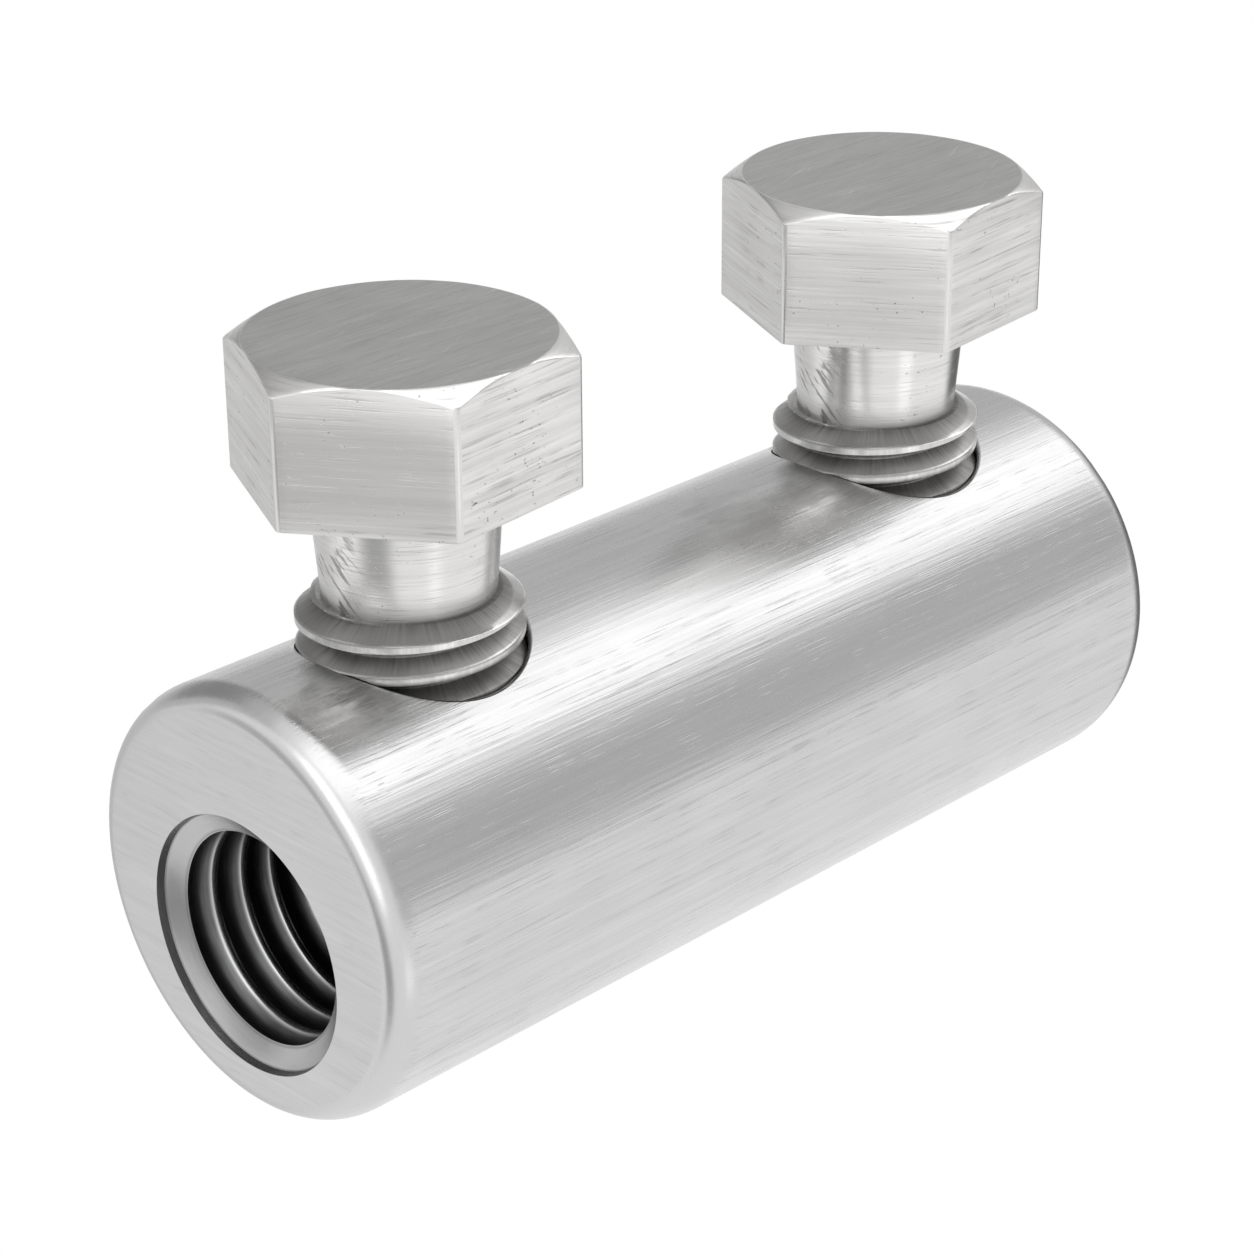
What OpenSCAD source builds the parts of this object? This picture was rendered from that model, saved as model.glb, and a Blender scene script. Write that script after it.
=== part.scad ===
// Shear bolt connector for two stranded conductors.
// The origin is below the middle of the round body, at the height of its underside.
// +X runs along the body from the near end to the far end, and +Z points up along the two bolts.
// All sizes are in millimetres.

/* [Body] */
// Diameter of the round body
body_d = 24; // [22:0.5:34]
// Length of the body from end face to end face
body_l = 61; // [56:1:90]
// Radius of the rounded edge round each end face
body_edge_r = 1.5; // [0.3:0.1:2.5]

/* [Conductor bores] */
// Diameter of each bore over its gripping ridges
bore_d = 11.7; // [9:0.1:13]
// Thickness of the wall that is left between the two bores
centre_wall = 6; // [3:0.5:8]
// Distance of the bore axis below the body axis
bore_drop = 2; // [1:0.1:3]
// Distance between the gripping ridges along the bore
ridge_pitch = 2; // [1.6:0.1:3]
// Width of each ridge's flat crest
ridge_land = 0.45; // [0.3:0.05:0.7]
// Depth of the round grooves between the ridges
groove_depth = 0.5; // [0.2:0.05:0.6]
// Least length of the plain stretch at the bottom of each bore
plain_l = 3.5; // [2:0.1:5]
// Diameter of the bore's mouth in the end face
mouth_d = 14.4; // [13.4:0.1:16]
// Depth of the sharp chamfer round the mouth
mouth_chamfer = 0.5; // [0.1:0.05:0.7]
// Diameter where the chamfer passes into the lead-in cone
lead_in_d = 14.2; // [13.1:0.1:14.3]
// Depth at which the lead-in cone has come down to the bore
lead_in_depth = 1.05; // [0.8:0.05:1.8]

/* [Bolt places] */
// Distance of each bolt from its end face
bolt_inset = 12.1; // [10.5:0.1:14]
// Gap between the body and the undersides of the heads, as the bolts stand
head_gap = 8.4; // [8:0.1:10]
// Angle of the hexagons to the body axis, in degrees
head_turn = 5; // [0:1:59]
// Turns that a bolt can be screwed further in
turns_in = 4; // [1:0.5:4]

/* [Bolt head and neck] */
// Width across the flats of the hexagon head
head_af = 16; // [14:0.5:18]
// Height of the head
head_h = 7.8; // [6:0.1:10]
// Diameter of the flat top inside the head's chamfer
head_top_d = 16; // [12:0.1:18]
// Slope of the head's chamfer, in degrees
head_chamfer_angle = 32; // [15:1:45]
// Diameter of the neck under the head
neck_top_d = 10.1; // [8:0.1:12]
// Diameter of the neck at its foot, where it shears
neck_foot_d = 9.15; // [7:0.05:9.4]
// Length of the neck from the head down to the thread
neck_l = 6.1; // [4:0.1:8]

/* [Thread] */
// Outer diameter of the bolts' thread
thread_d = 12; // [11:0.5:13]
// Rise of the thread in one turn
thread_pitch = 1.75; // [1.5:0.05:2]
// Depth of the thread from crest to root
thread_depth = 1.15; // [0.8:0.05:1.2]
// Width of the flat crest of the thread
thread_land = 0.45; // [0.2:0.05:0.5]
// Length of the chamfer at the bolt's tip
tip_chamfer = 0.7; // [0.3:0.1:1.2]
// Radial clearance over the crests of the bolts' thread
crest_clearance = 0.12; // [0.1:0.01:0.15]
// Radial clearance inside the roots of the bolts' thread
root_clearance = 0.2; // [0.15:0.01:0.3]
// Clearance along the bolt on each flank of its thread
flank_clearance = 0.08; // [0.06:0.01:0.1]
// Diameter of the plain relief at the top of each tapped hole
relief_d = 12.7; // [12.4:0.1:14]

/* [Pressure pads] */
// Diameter of the pressure pad under each bolt
pad_d = 9.2; // [7:0.1:9.4]
// Thickness of the pad's disc
pad_h = 0.9; // [0.6:0.1:1.2]
// Height of the pad above the ridges of the empty bore
pad_gap = 0.2; // [0.1:0.1:1]
// Chamfer round the pad's underside
pad_chamfer = 0.3; // [0.1:0.1:0.5]
// Diameter of the stud that joins the pad to the bolt
stud_d = 2.8; // [2:0.1:3.2]
// Length of the stud below its head
stud_l = 1.2; // [0.8:0.1:2]
// Diameter of the stud's head, which keeps the pad in the bolt
stud_head_d = 4.2; // [3.6:0.1:5]
// Height of the stud's head
stud_head_h = 1; // [0.6:0.1:1.5]
// Running clearance between the pad and its bolt
pad_clearance = 0.08; // [0.05:0.01:0.1]

/* [Hidden] */
$fn = 96;
overshoot = 1;
facet_steps = 24;
root_gap = 0.1;
edge_step = 0.05;
end_depth = 0.05;
runout_turns = 0.5;
runout_gap = 0.1;
crest_turn = 225;
tip_gap = 0.15;
floor_gap = 0.4;
relief_gap = 0.2;

// Body and bores
body_r = body_d / 2;
bore_r = bore_d / 2;
bore_depth = (body_l - centre_wall) / 2;
bore_top = bore_r - bore_drop;
groove_w = ridge_pitch - ridge_land;
groove_r = (groove_w * groove_w / 4 + groove_depth * groove_depth) / (2 * groove_depth);
groove_axis_r = bore_r + groove_depth - groove_r;
first_groove = lead_in_depth + groove_w / 2;
groove_room = bore_depth - plain_l - lead_in_depth - groove_w;
groove_count = floor(groove_room / ridge_pitch) + 1;

// Bolts and pads, with heights from the body's axis
bolt_x = body_l / 2 - bolt_inset;
head_r = head_af / sqrt(3);
head_z = body_r + head_gap;
foot_z = head_z - neck_l;
stud_z = bore_top + pad_gap + pad_h;
tip_z = stud_z + pad_clearance;
crest_r = thread_d / 2;
root_r = crest_r - thread_depth;
root_w = thread_pitch - root_gap;
flank_slope = (root_w - thread_land) / 2 / thread_depth;
crest_z = foot_z - root_w / 2;

// Tapped holes
relief_r = relief_d / 2;
relief_z = sqrt(body_r * body_r - relief_r * relief_r) - relief_gap;
hole_root_r = root_r + root_clearance;
hole_crest_r = crest_r + crest_clearance;
hole_floor_z = tip_z - turns_in * thread_pitch - floor_gap;
hole_runout_r = hole_crest_r + runout_gap;
thread_floor_z = bore_top + groove_depth + runout_gap;

// Half the width of the bolts' thread at radius r, between its two flanks
function half_width(r) = thread_land / 2 + flank_slope * (crest_r - r);

// Angle at which the middle of the bolts' thread passes through height z
function turn_at(z) = crest_turn + (z - crest_z) / thread_pitch * 360;

// Share of its full depth that a thread has at step i of n, falling to nothing at both ends
function runout(i, n) = min(1, min(i, n - i) / (runout_turns * facet_steps));

// Radius that a thread on a core of radius root may reach at height z, under a chamfer that comes
// down to the core at height z_top with the slope of the flanks
function chamfered(r, z, root, z_top) = min(r, root + (z_top - z) / flank_slope);

// Cross-section of a thread at angle a: lower root, lower and upper edge of the crest, upper root.
// depth is its depth there, and side widens each flank against that of the bolts' thread.
function thread_section(a, root, depth, side, z_top) =
    let (z = crest_z + thread_pitch * (a - crest_turn) / 360,
         half_root = half_width(root) + side,
         half_crest = half_width(root + max(depth, end_depth)) + side,
         heights = [z - half_root, z - half_crest, z + half_crest, z + half_root],
         radii = [root, root + depth, root + depth, root])
    [for (k = [0:3])
        let (h = min(heights[k], z_top - (4 - k) * edge_step),
             r = depth > 0 ? chamfered(radii[k], h, root, z_top) : root)
        [r * cos(a), r * sin(a), h]];

// Triangles that fill the polygon of the vertices v, all of them from its first vertex
function fan(v) = [for (i = [1:len(v) - 2]) [v[0], v[i], v[i + 1]]];

// A right-hand threaded bar on the Z axis, from height z_low to z_top, as one faceted solid. Its
// thread winds from angle a_low up to about a_high. Each turn is three strips of facets, two flanks
// and a crest, and a strip of root joins it to the turn above.
module threaded_bar(z_low, z_top, a_low, a_high, root, crest, side) {
    t = facet_steps;
    n = round((a_high - a_low) / 360 * t);
    ring = function (r, z) [for (i = [0:t - 1]) let (a = a_low + i * 360 / t) [r * cos(a), r * sin(a), z]];
    tip = ring(root - tip_chamfer / 2, z_low);
    shoulder = ring(root, z_low + tip_chamfer);
    top = ring(root, z_top);
    sections = [for (i = [0:n])
        each thread_section(a_low + i * 360 / t, root, (crest - root) * runout(i, n), side, z_top)];
    foot = function (i) t + i % t;
    head = function (i) 2 * t + i % t;
    edge = function (i, k) 3 * t + 4 * i + k;
    polyhedron(
        points = concat(tip, shoulder, top, sections),
        faces = concat(
            [[for (i = [0:t - 1]) i]],
            [for (i = [0:t - 1]) [i, foot(i), foot(i + 1), (i + 1) % t]],
            [for (i = [0:t - 2]) [foot(i), edge(i, 0), edge(i + 1, 0), foot(i + 1)]],
            fan([foot(t - 1), edge(t - 1, 0), edge(t, 0), edge(0, 3), edge(0, 2), edge(0, 1), edge(0, 0), foot(0)]),
            [for (i = [0:n - 1], k = [0:2])
                each [[edge(i, k), edge(i, k + 1), edge(i + 1, k + 1)],
                      [edge(i, k), edge(i + 1, k + 1), edge(i + 1, k)]]],
            [for (i = [0:n - t - 1]) [edge(i, 3), edge(i + t, 0), edge(i + t + 1, 0), edge(i + 1, 3)]],
            fan([head(n + 1), edge(n - t + 1, 3), edge(n - t, 3), edge(n, 0), edge(n, 1), edge(n, 2), edge(n, 3),
                 head(n)]),
            [for (i = [n - t + 1:n - 1]) [edge(i, 3), head(i), head(i + 1), edge(i + 1, 3)]],
            [[for (i = [t - 1:-1:0]) head(i)]]));
}

// A solid turned on the X axis from a flat outline. Its first coordinate is the radius and its
// second the distance along +X.
module turned_on_x() {
    rotate([0, 90, 0]) rotate_extrude() children();
}

// Lengthwise outline of the bar, with both ends rounded
module bar_outline() {
    half = body_l / 2;
    translate([0, -half]) square([body_r - body_edge_r, body_l]);
    translate([0, body_edge_r - half]) square([body_r, body_l - 2 * body_edge_r]);
    for (end = [-1, 1])
        translate([body_r - body_edge_r, end * (half - body_edge_r)]) circle(body_edge_r);
}

// Lengthwise outline of one bore, from its mouth at 0 inwards, with round grooves between ridges
module bore_outline() {
    square([bore_r, bore_depth]);
    for (i = [0:groove_count - 1])
        translate([groove_axis_r, first_groove + i * ridge_pitch]) circle(groove_r);
    polygon([[0, -overshoot], [mouth_d / 2, -overshoot], [mouth_d / 2, 0],
             [lead_in_d / 2, mouth_chamfer], [bore_r, lead_in_depth], [0, lead_in_depth]]);
}

// Tapped hole for one bolt: plain relief at the top, thread, and a plain run-out below it
module tapped_hole() {
    translate([0, 0, relief_z]) cylinder(r = relief_r, h = body_r);
    translate([0, 0, hole_floor_z]) cylinder(r = hole_runout_r, h = thread_floor_z - hole_floor_z);
    threaded_bar(thread_floor_z - 2 * thread_pitch, relief_z + 3 * thread_pitch,
                 turn_at(thread_floor_z - thread_pitch), turn_at(relief_z + thread_pitch),
                 hole_root_r, hole_crest_r, flank_clearance);
}

// Lifts what is drawn round the body's axis onto the height of that axis
module at_axis_height() {
    translate([0, 0, body_r]) children();
}

module connector_body() {
    color("silver")
    at_axis_height() difference() {
        turned_on_x() bar_outline();
        for (end = [0, 1]) mirror([end, 0, 0])
            translate([-body_l / 2, 0, -bore_drop]) turned_on_x() bore_outline();
        for (x = [-bolt_x, bolt_x]) translate([x, 0, 0]) tapped_hole();
    }
}

// Hexagon with a turned chamfer round its top
module hex_head() {
    outer_r = head_r + overshoot;
    outer_drop = (outer_r - head_top_d / 2) * tan(head_chamfer_angle);
    intersection() {
        rotate(head_turn) cylinder(r = head_r, h = head_h, $fn = 6);
        rotate_extrude()
            polygon([[0, 0], [outer_r, 0], [outer_r, head_h - outer_drop],
                     [head_top_d / 2, head_h], [0, head_h]]);
    }
}

// Socket in the bolt's tip, with an undercut that the pad's stud turns in
module pad_socket() {
    translate([0, 0, -overshoot]) cylinder(d = stud_d + 2 * pad_clearance, h = overshoot + stud_l);
    translate([0, 0, stud_l - 2 * pad_clearance])
        cylinder(d = stud_head_d + 2 * pad_clearance, h = stud_head_h + 2 * pad_clearance);
}

module shear_bolt() {
    color("darkgray")
    difference() {
        union() {
            translate([0, 0, head_z]) hex_head();
            translate([0, 0, foot_z]) cylinder(d1 = neck_foot_d, d2 = neck_top_d, h = neck_l);
            threaded_bar(tip_z, foot_z, turn_at(tip_z + tip_chamfer + tip_gap + root_w / 2),
                         crest_turn + 180, root_r, crest_r, 0);
        }
        translate([0, 0, tip_z]) pad_socket();
    }
}

// Turned disc with a headed stud that is caught in the bolt's tip
module pressure_pad() {
    color("gainsboro")
    translate([0, 0, stud_z]) {
        rotate_extrude()
            polygon([[0, -pad_h], [pad_d / 2 - pad_chamfer, -pad_h],
                     [pad_d / 2, pad_chamfer - pad_h], [pad_d / 2, 0], [0, 0]]);
        cylinder(d = stud_d, h = stud_l + pad_clearance);
        translate([0, 0, stud_l]) cylinder(d = stud_head_d, h = stud_head_h);
    }
}

module near_shear_bolt() { at_axis_height() translate([-bolt_x, 0, 0]) shear_bolt(); }
module far_shear_bolt() { at_axis_height() translate([bolt_x, 0, 0]) shear_bolt(); }
module near_pressure_pad() { at_axis_height() translate([-bolt_x, 0, 0]) pressure_pad(); }
module far_pressure_pad() { at_axis_height() translate([bolt_x, 0, 0]) pressure_pad(); }

connector_body();
near_shear_bolt();
far_shear_bolt();
near_pressure_pad();
far_pressure_pad();
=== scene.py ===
"""Looks of a shear bolt connector: a round tinned bar with a bore in each end and two shear bolts.

The packed part is loaded as a fixed frame. Every piece is a surface worked out from a formula,
in millimetres, with the body along X and the bolts along Z, and is written in metres.
"""

import math
from types import SimpleNamespace

import bmesh
import bpy
import numpy as np
from mathutils import Matrix, Vector


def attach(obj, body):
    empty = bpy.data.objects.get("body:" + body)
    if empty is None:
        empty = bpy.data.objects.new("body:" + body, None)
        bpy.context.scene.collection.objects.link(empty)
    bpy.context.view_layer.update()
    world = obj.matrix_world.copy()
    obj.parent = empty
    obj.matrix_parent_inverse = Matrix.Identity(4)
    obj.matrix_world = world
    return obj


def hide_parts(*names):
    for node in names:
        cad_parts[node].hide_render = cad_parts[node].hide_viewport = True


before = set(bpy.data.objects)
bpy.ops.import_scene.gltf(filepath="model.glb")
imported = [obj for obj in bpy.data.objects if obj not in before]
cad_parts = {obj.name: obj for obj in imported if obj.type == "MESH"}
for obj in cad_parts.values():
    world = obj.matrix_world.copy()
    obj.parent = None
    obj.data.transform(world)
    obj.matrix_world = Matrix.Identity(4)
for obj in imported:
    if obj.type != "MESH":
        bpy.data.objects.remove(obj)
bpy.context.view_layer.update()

bl_info = {
    "name": "Shear bolt connector",
    "version": (1, 0, 0),
    "blender": (4, 5, 0),
    "location": "View3D > Sidebar > Connector",
    "description": "Surfaces, materials and stage of a shear bolt connector",
    "category": "Object",
}

MM = 0.001
TURN = 2 * math.pi
TINY = 1e-9
MERGE = 0.004  # points closer than this, in millimetres, become one
THREAD_LINES = 40  # lines across one pitch of the bolt's thread
ROUND_COLUMNS = 105  # columns round the body beside a patch

# material slots of the body and of a bolt
SIDE, FACE, BORE, HOLE = range(4)
TOP, FLATS, NECK, THREAD, EDGE = range(5)


def number(name, description, value, **kind):
    """A number property with this default."""
    return bpy.props.FloatProperty(name=name, description=description, default=value, **kind)


def length(name, description, size):
    """A length property whose default is given in millimetres."""
    return number(name, description, size * MM, min=0.0, precision=5, subtype="DISTANCE", unit="LENGTH")


def angle(name, description, degrees):
    """An angle property whose default is given in degrees."""
    return number(name, description, math.radians(degrees), subtype="ANGLE", unit="ROTATION")


def share(name, description, value):
    """A factor from 0 to 1."""
    return number(name, description, value, min=0.0, max=1.0, subtype="FACTOR")


def colour(name, description, rgb):
    """A linear colour."""
    return bpy.props.FloatVectorProperty(
        name=name, description=description, default=rgb, min=0.0, max=1.0, size=3, subtype="COLOR",
    )


def in_mm(settings):
    """The values of a settings group, with its lengths in millimetres."""
    values = {}
    for name in type(settings).__annotations__:
        unit = getattr(settings.bl_rna.properties[name], "unit", "")
        values[name] = getattr(settings, name) / (MM if unit == "LENGTH" else 1)
    return SimpleNamespace(**values)


class ConnectorBodySettings(bpy.types.PropertyGroup):
    """Sizes of the round body."""

    radius: length("Radius", "Radius of the round body", 12)
    half: length("Half length", "Distance of each end face from the middle", 30.5)
    edge_along: length("Edge along", "Length of the rounded edge along the body", 1.9)
    edge_across: length("Edge across", "Width of the rounded edge on the end face", 1.3)
    drop: length("Bore drop", "Distance of the bore axis below the body axis", 2)
    bore: length("Bore radius", "Radius of the bore over its ridges", 5.85)
    depth: length("Bore depth", "Depth of each bore", 27.5)
    mouth: length("Mouth radius", "Radius of the mouth in the end face", 7.2)
    chamfer: length("Mouth wall", "Depth of the steep wall round the mouth", 0.5)
    lead: length("Lead-in radius", "Radius where the wall meets the lead-in cone", 7.1)
    lead_depth: length("Lead-in depth", "Depth at which the cone reaches the bore", 1.05)
    pitch: length("Ridge pitch", "Distance between two ridges", 2)
    land: length("Ridge land", "Width of a ridge's crest", 0.45)
    crown: length("Ridge crown", "Height of the rounding of a ridge's crest", 0.07)
    groove: length("Groove depth", "Depth of the grooves between the ridges", 0.5)
    plain: length("Plain stretch", "Least plain length at the bottom of the bore", 3.5)
    inset: length("Bolt inset", "Distance of each bolt from its end face", 12.1)
    relief: length("Relief radius", "Radius of the relief at the top of a tapped hole", 6.08)
    rim: length("Rim radius", "Radius of the broken edge round a tapped hole", 6.3)
    rim_drop: length("Rim drop", "Depth of the broken edge", 0.12)
    relief_low: length("Relief floor", "Height of the relief's floor over the body axis", 9.98)
    runout: length("Run-out radius", "Radius of the hole below its thread", 6.22)
    runout_top: length("Run-out top", "Height of the thread's lower end over the body axis", 4.45)
    floor_drop: length("Floor drop", "Depth of the hole's floor below the body axis", 2.37)


class ThreadSettings(bpy.types.PropertyGroup):
    """Sizes of the screw thread."""

    crest: length("Crest radius", "Outer radius of the thread", 6)
    root: length("Root radius", "Radius at the bottom of the thread", 4.85)
    pitch: length("Pitch", "Rise of the thread in one turn", 1.75)
    land: length("Land", "Width of the thread's crest", 0.45)
    root_gap: length("Root gap", "Width of the thread's root", 0.1)
    soft: length("Softness", "Drop over which the crest's corners are rounded", 0.04)
    crest_at: angle("Crest angle", "Angle at which the uppermost crest is full", 225)
    hole_crest: length("Hole crest", "Outer radius of the thread in the body", 6.12)
    hole_root: length("Hole root", "Inner radius of the thread in the body", 5.05)
    hole_side: length("Flank clearance", "Clearance on each flank of the thread in the body", 0.08)


class BoltSettings(bpy.types.PropertyGroup):
    """Sizes of a shear bolt. Heights are over the underside of the body."""

    across: length("Across flats", "Width of the hexagon across its flats", 16)
    top: length("Top", "Height of the head's top", 40.2)
    under: length("Underside", "Height of the head's underside", 32.4)
    flat: length("Flat top", "Radius of the flat top", 8)
    slope: angle("Chamfer slope", "Slope of the head's chamfer", 32)
    turn: angle("Turn", "Angle of the hexagon to the body", 5)
    corner: length("Corner radius", "Rounding of the hexagon's upright edges", 0.4)
    bevel: length("Bevel", "Width of the small bevels on the head's edges", 0.09)
    neck_top: length("Neck top", "Radius of the neck under the head", 5.05)
    neck_foot: length("Neck foot", "Radius of the neck where it shears", 4.575)
    foot: length("Foot", "Height of the neck's foot", 26.3)
    tip: length("Tip", "Height of the bolt's tip", 17.03)
    tip_radius: length("Tip radius", "Radius of the tip's face", 4.5)
    socket: length("Socket", "Radius of the socket in the tip", 1.48)
    socket_l: length("Socket length", "Length of the socket up to its undercut", 1.04)
    undercut: length("Undercut", "Radius of the socket's undercut", 2.18)
    undercut_l: length("Undercut length", "Height of the undercut", 1.16)


class PadSettings(bpy.types.PropertyGroup):
    """Sizes of a pressure pad. Heights are over the underside of the body."""

    radius: length("Radius", "Radius of the disc", 4.6)
    low: length("Underside", "Height of the disc's underside", 16.05)
    thick: length("Thickness", "Thickness of the disc", 0.9)
    chamfer: length("Chamfer", "Chamfer round the underside", 0.3)
    stud: length("Stud radius", "Radius of the stud", 1.4)
    stud_l: length("Stud length", "Length of the stud below its head", 1.2)
    head: length("Head radius", "Radius of the stud's head", 2.1)
    head_h: length("Head height", "Height of the stud's head", 1)


class FinishSettings(bpy.types.PropertyGroup):
    """Colours and finish of the metal."""

    tin: colour("Tinned bar", "Colour of the tinned body", (0.62, 0.62, 0.623))
    bare: colour("Turned bolt", "Colour of the bolts", (0.74, 0.735, 0.73))
    bore: colour("Bore", "Colour of the metal in the bores", (0.5, 0.5, 0.505))
    rough: share("Roughness", "Roughness of the smoothest metal", 0.26)


class StageSettings(bpy.types.PropertyGroup):
    """Camera, lamp and reflected cards."""

    azimuth: angle("Azimuth", "Direction of the camera round the object", -45.3154)
    elevation: angle("Elevation", "Height angle of the camera", 25.0356)
    roll: angle("Roll", "Roll of the camera", -0.3375)
    lens: number("Lens", "Focal length of the camera in millimetres", 95.30, min=1.0, unit="CAMERA")
    distance: length("Distance", "Distance of the camera from the middle of the body", 189.1)
    aside: length("Aside", "Shift of the camera to its left", 1.757)
    raised: length("Raised", "Shift of the camera upwards", 5.258)
    key: number("Key", "Power of the long lamp over the body", 0.75, min=0.0, unit="POWER")
    card: share("Cards", "Brightness of the grey cards in the reflections", 0.6)


class Skin:
    """Grids of points, in millimetres, that are gathered into one closed surface."""

    def __init__(self):
        self.points, self.quads, self.slots, self.flat, self.count = [], [], [], [], 0

    def grid(self, points, slots=0, flip=False, flat=None):
        """Adds rows x columns points. A face's normal is the way along the rows crossed with the
        way along the columns, or the opposite if flip is set. slots has one number for each row
        of faces, one for all of them, or one for each face. flat has the points' places, in
        millimetres, on the unrolled surface."""
        rows, columns = points.shape[:2]
        index = np.arange(rows * columns).reshape(rows, columns) + self.count
        corners = [index[:-1, :-1], index[1:, :-1], index[1:, 1:], index[:-1, 1:]]
        quads = np.stack(corners[::-1] if flip else corners, axis=-1)
        self.points.append(points.reshape(-1, 3))
        self.quads.append(quads.reshape(-1, 4))
        slots = np.asarray(slots)
        slots = slots if slots.ndim == 2 else slots.reshape(-1, 1)
        self.slots.append(np.broadcast_to(slots, (rows - 1, columns - 1)).reshape(-1))
        self.flat.append(np.zeros((rows * columns, 2)) if flat is None else flat.reshape(-1, 2))
        self.count += rows * columns

    def mirrored(self):
        """Adds the same surface again, mirrored to the other end of X."""
        self.points += [points * [-1, 1, 1] for points in self.points]
        self.quads += [quads[:, ::-1] + self.count for quads in self.quads]
        self.slots *= 2
        self.flat *= 2
        self.count *= 2

    def build(self, name, materials, sharp=33):
        """Writes the surface as a mesh object, with its seams and poles merged. Edges of more than
        sharp degrees stay sharp."""
        points = np.concatenate(self.points) * MM
        quads = np.concatenate(self.quads)
        mesh = bpy.data.meshes.new(name)
        mesh.vertices.add(len(points))
        mesh.vertices.foreach_set("co", points.astype(np.float32).ravel())
        mesh.loops.add(quads.size)
        mesh.loops.foreach_set("vertex_index", quads.astype(np.int32).ravel())
        mesh.polygons.add(len(quads))
        mesh.polygons.foreach_set("loop_start", np.arange(len(quads), dtype=np.int32) * 4)
        mesh.polygons.foreach_set("material_index", np.concatenate(self.slots).astype(np.int32))
        mesh.update(calc_edges=True)
        layer = mesh.uv_layers.new(name="unrolled")
        flat = np.concatenate(self.flat)[quads.reshape(-1)]
        layer.uv.foreach_set("vector", flat.astype(np.float32).ravel())
        work = bmesh.new()
        work.from_mesh(mesh)
        bmesh.ops.remove_doubles(work, verts=work.verts, dist=MERGE * MM)
        work.to_mesh(mesh)
        work.free()
        for material in materials:
            mesh.materials.append(material)
        mesh.polygons.foreach_set("use_smooth", np.ones(len(mesh.polygons), dtype=bool))
        mesh.set_sharp_from_angle(angle=math.radians(sharp))
        piece = bpy.data.objects.new(name, mesh)
        bpy.context.scene.collection.objects.link(piece)
        return piece


def round_normals(mesh, radius):
    """Gives the round of the body the normals of a true cylinder, whatever its faces' widths."""
    close, along = 2e-6, 0.97  # metres from the round, and the least cosine to its normal
    count = len(mesh.loops)
    normals, corners = np.zeros(count * 3, np.float32), np.zeros(count, np.int32)
    points = np.zeros(len(mesh.vertices) * 3, np.float32)
    mesh.corner_normals.foreach_get("vector", normals)
    mesh.loops.foreach_get("vertex_index", corners)
    mesh.vertices.foreach_get("co", points)
    normals = normals.reshape(-1, 3)
    out = points.reshape(-1, 3)[corners] - [0, 0, radius * MM]
    out[:, 0] = 0
    far = np.linalg.norm(out, axis=1)
    out /= np.maximum(far, TINY)[:, None]
    on_round = (np.abs(far - radius * MM) < close) & ((normals * out).sum(axis=1) > along)
    normals[on_round] = out[on_round]
    mesh.normals_split_custom_set(normals)


def turned(profile, turns, x=0.0):
    """Points of a profile turned round an upright axis at x. profile is (radius, height) rows, and
    either may be an array over the angles."""
    rows = []
    for radius, height in profile:
        radius = np.broadcast_to(radius, turns.shape)
        height = np.broadcast_to(height, turns.shape)
        rows.append(np.stack([x + radius * np.cos(turns), radius * np.sin(turns), height], axis=-1))
    return np.array(rows)


def along_x(depths, radii, turns, drop=0):
    """Points of circles round an axis along X. Each has its place on X and its radius, and its
    angles run from +Z towards +Y. drop lowers its centre below the body axis."""
    depths, radii, drop = (np.asarray(a, float).reshape(-1, 1) for a in (depths, radii, drop))
    turns = np.broadcast_to(turns, (len(depths), np.shape(turns)[-1]))
    flat = np.zeros_like(turns)
    return np.stack([depths + flat, radii * np.sin(turns), radii * np.cos(turns) - drop], axis=-1)


def rounded_corner(distance, softness):
    """A bend at 0 between a level line and a line of slope 1, rounded over +-softness."""
    curve = (distance + softness) ** 2 / (4 * softness)
    return np.where(distance < -softness, 0, np.where(distance > softness, distance, curve))


def flank_slope(t):
    """Distance along the bolt over which a flank falls by one, from the crest to the root."""
    return (t.pitch - t.root_gap - t.land) / 2 / (t.crest - t.root)


def top_crest(s, t):
    """Height of the thread's uppermost crest, half a pitch below the neck's foot."""
    return s.foot - (t.pitch - t.root_gap) / 2


def thread_rows(t, low, high, turns, side, coarse=False):
    """Heights of the lines of a thread between two heights, for every angle. Each line climbs with
    the thread at a fixed place of its profile, and is held at the two ends. A coarse thread has
    lines only at its corners."""
    apart = 0.01  # least distance of a line from those at the corners
    slope = flank_slope(t)
    crest, root = t.land / 2 + side, t.land / 2 + side + slope * (t.crest - t.root)
    soft = t.soft * slope
    corners = np.array([crest - soft, crest + soft, root - soft, root])
    even = np.arange(1, 1 if coarse else THREAD_LINES // 2) * t.pitch / THREAD_LINES
    even = even[np.abs(even[:, None] - corners).min(axis=1) > apart]
    marks = np.sort(np.concatenate([corners, even]))
    marks = marks[marks < t.pitch / 2]
    across = np.concatenate([-marks[::-1], [0], marks])
    first = math.floor((low - high) / t.pitch) - 1
    middles = high + np.arange(first, 3) * t.pitch
    lines = (middles[:, None] + across).reshape(-1)
    return np.clip(lines[:, None] + t.pitch * (turns - t.crest_at) / TURN, low, high)


def thread_radius(t, heights, turns, top, side, root, crest):
    """Radius of the thread at a height and angle: the crest's radius, less the distance beyond the
    land over the flank's slope, between root and crest. top is the height of its first crest. Where
    crest lies further out than the bolt's, as in the hole, the flanks run on to it."""
    away = (heights - top - t.pitch * (turns - t.crest_at) / TURN) / t.pitch
    away = np.abs(away - np.round(away)) * t.pitch
    drop = (away - t.land / 2 - side) / flank_slope(t)
    further = np.minimum(drop, 0) * (crest > t.crest)
    return np.clip(t.crest - rounded_corner(drop, t.soft) - further, root, crest)


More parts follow.
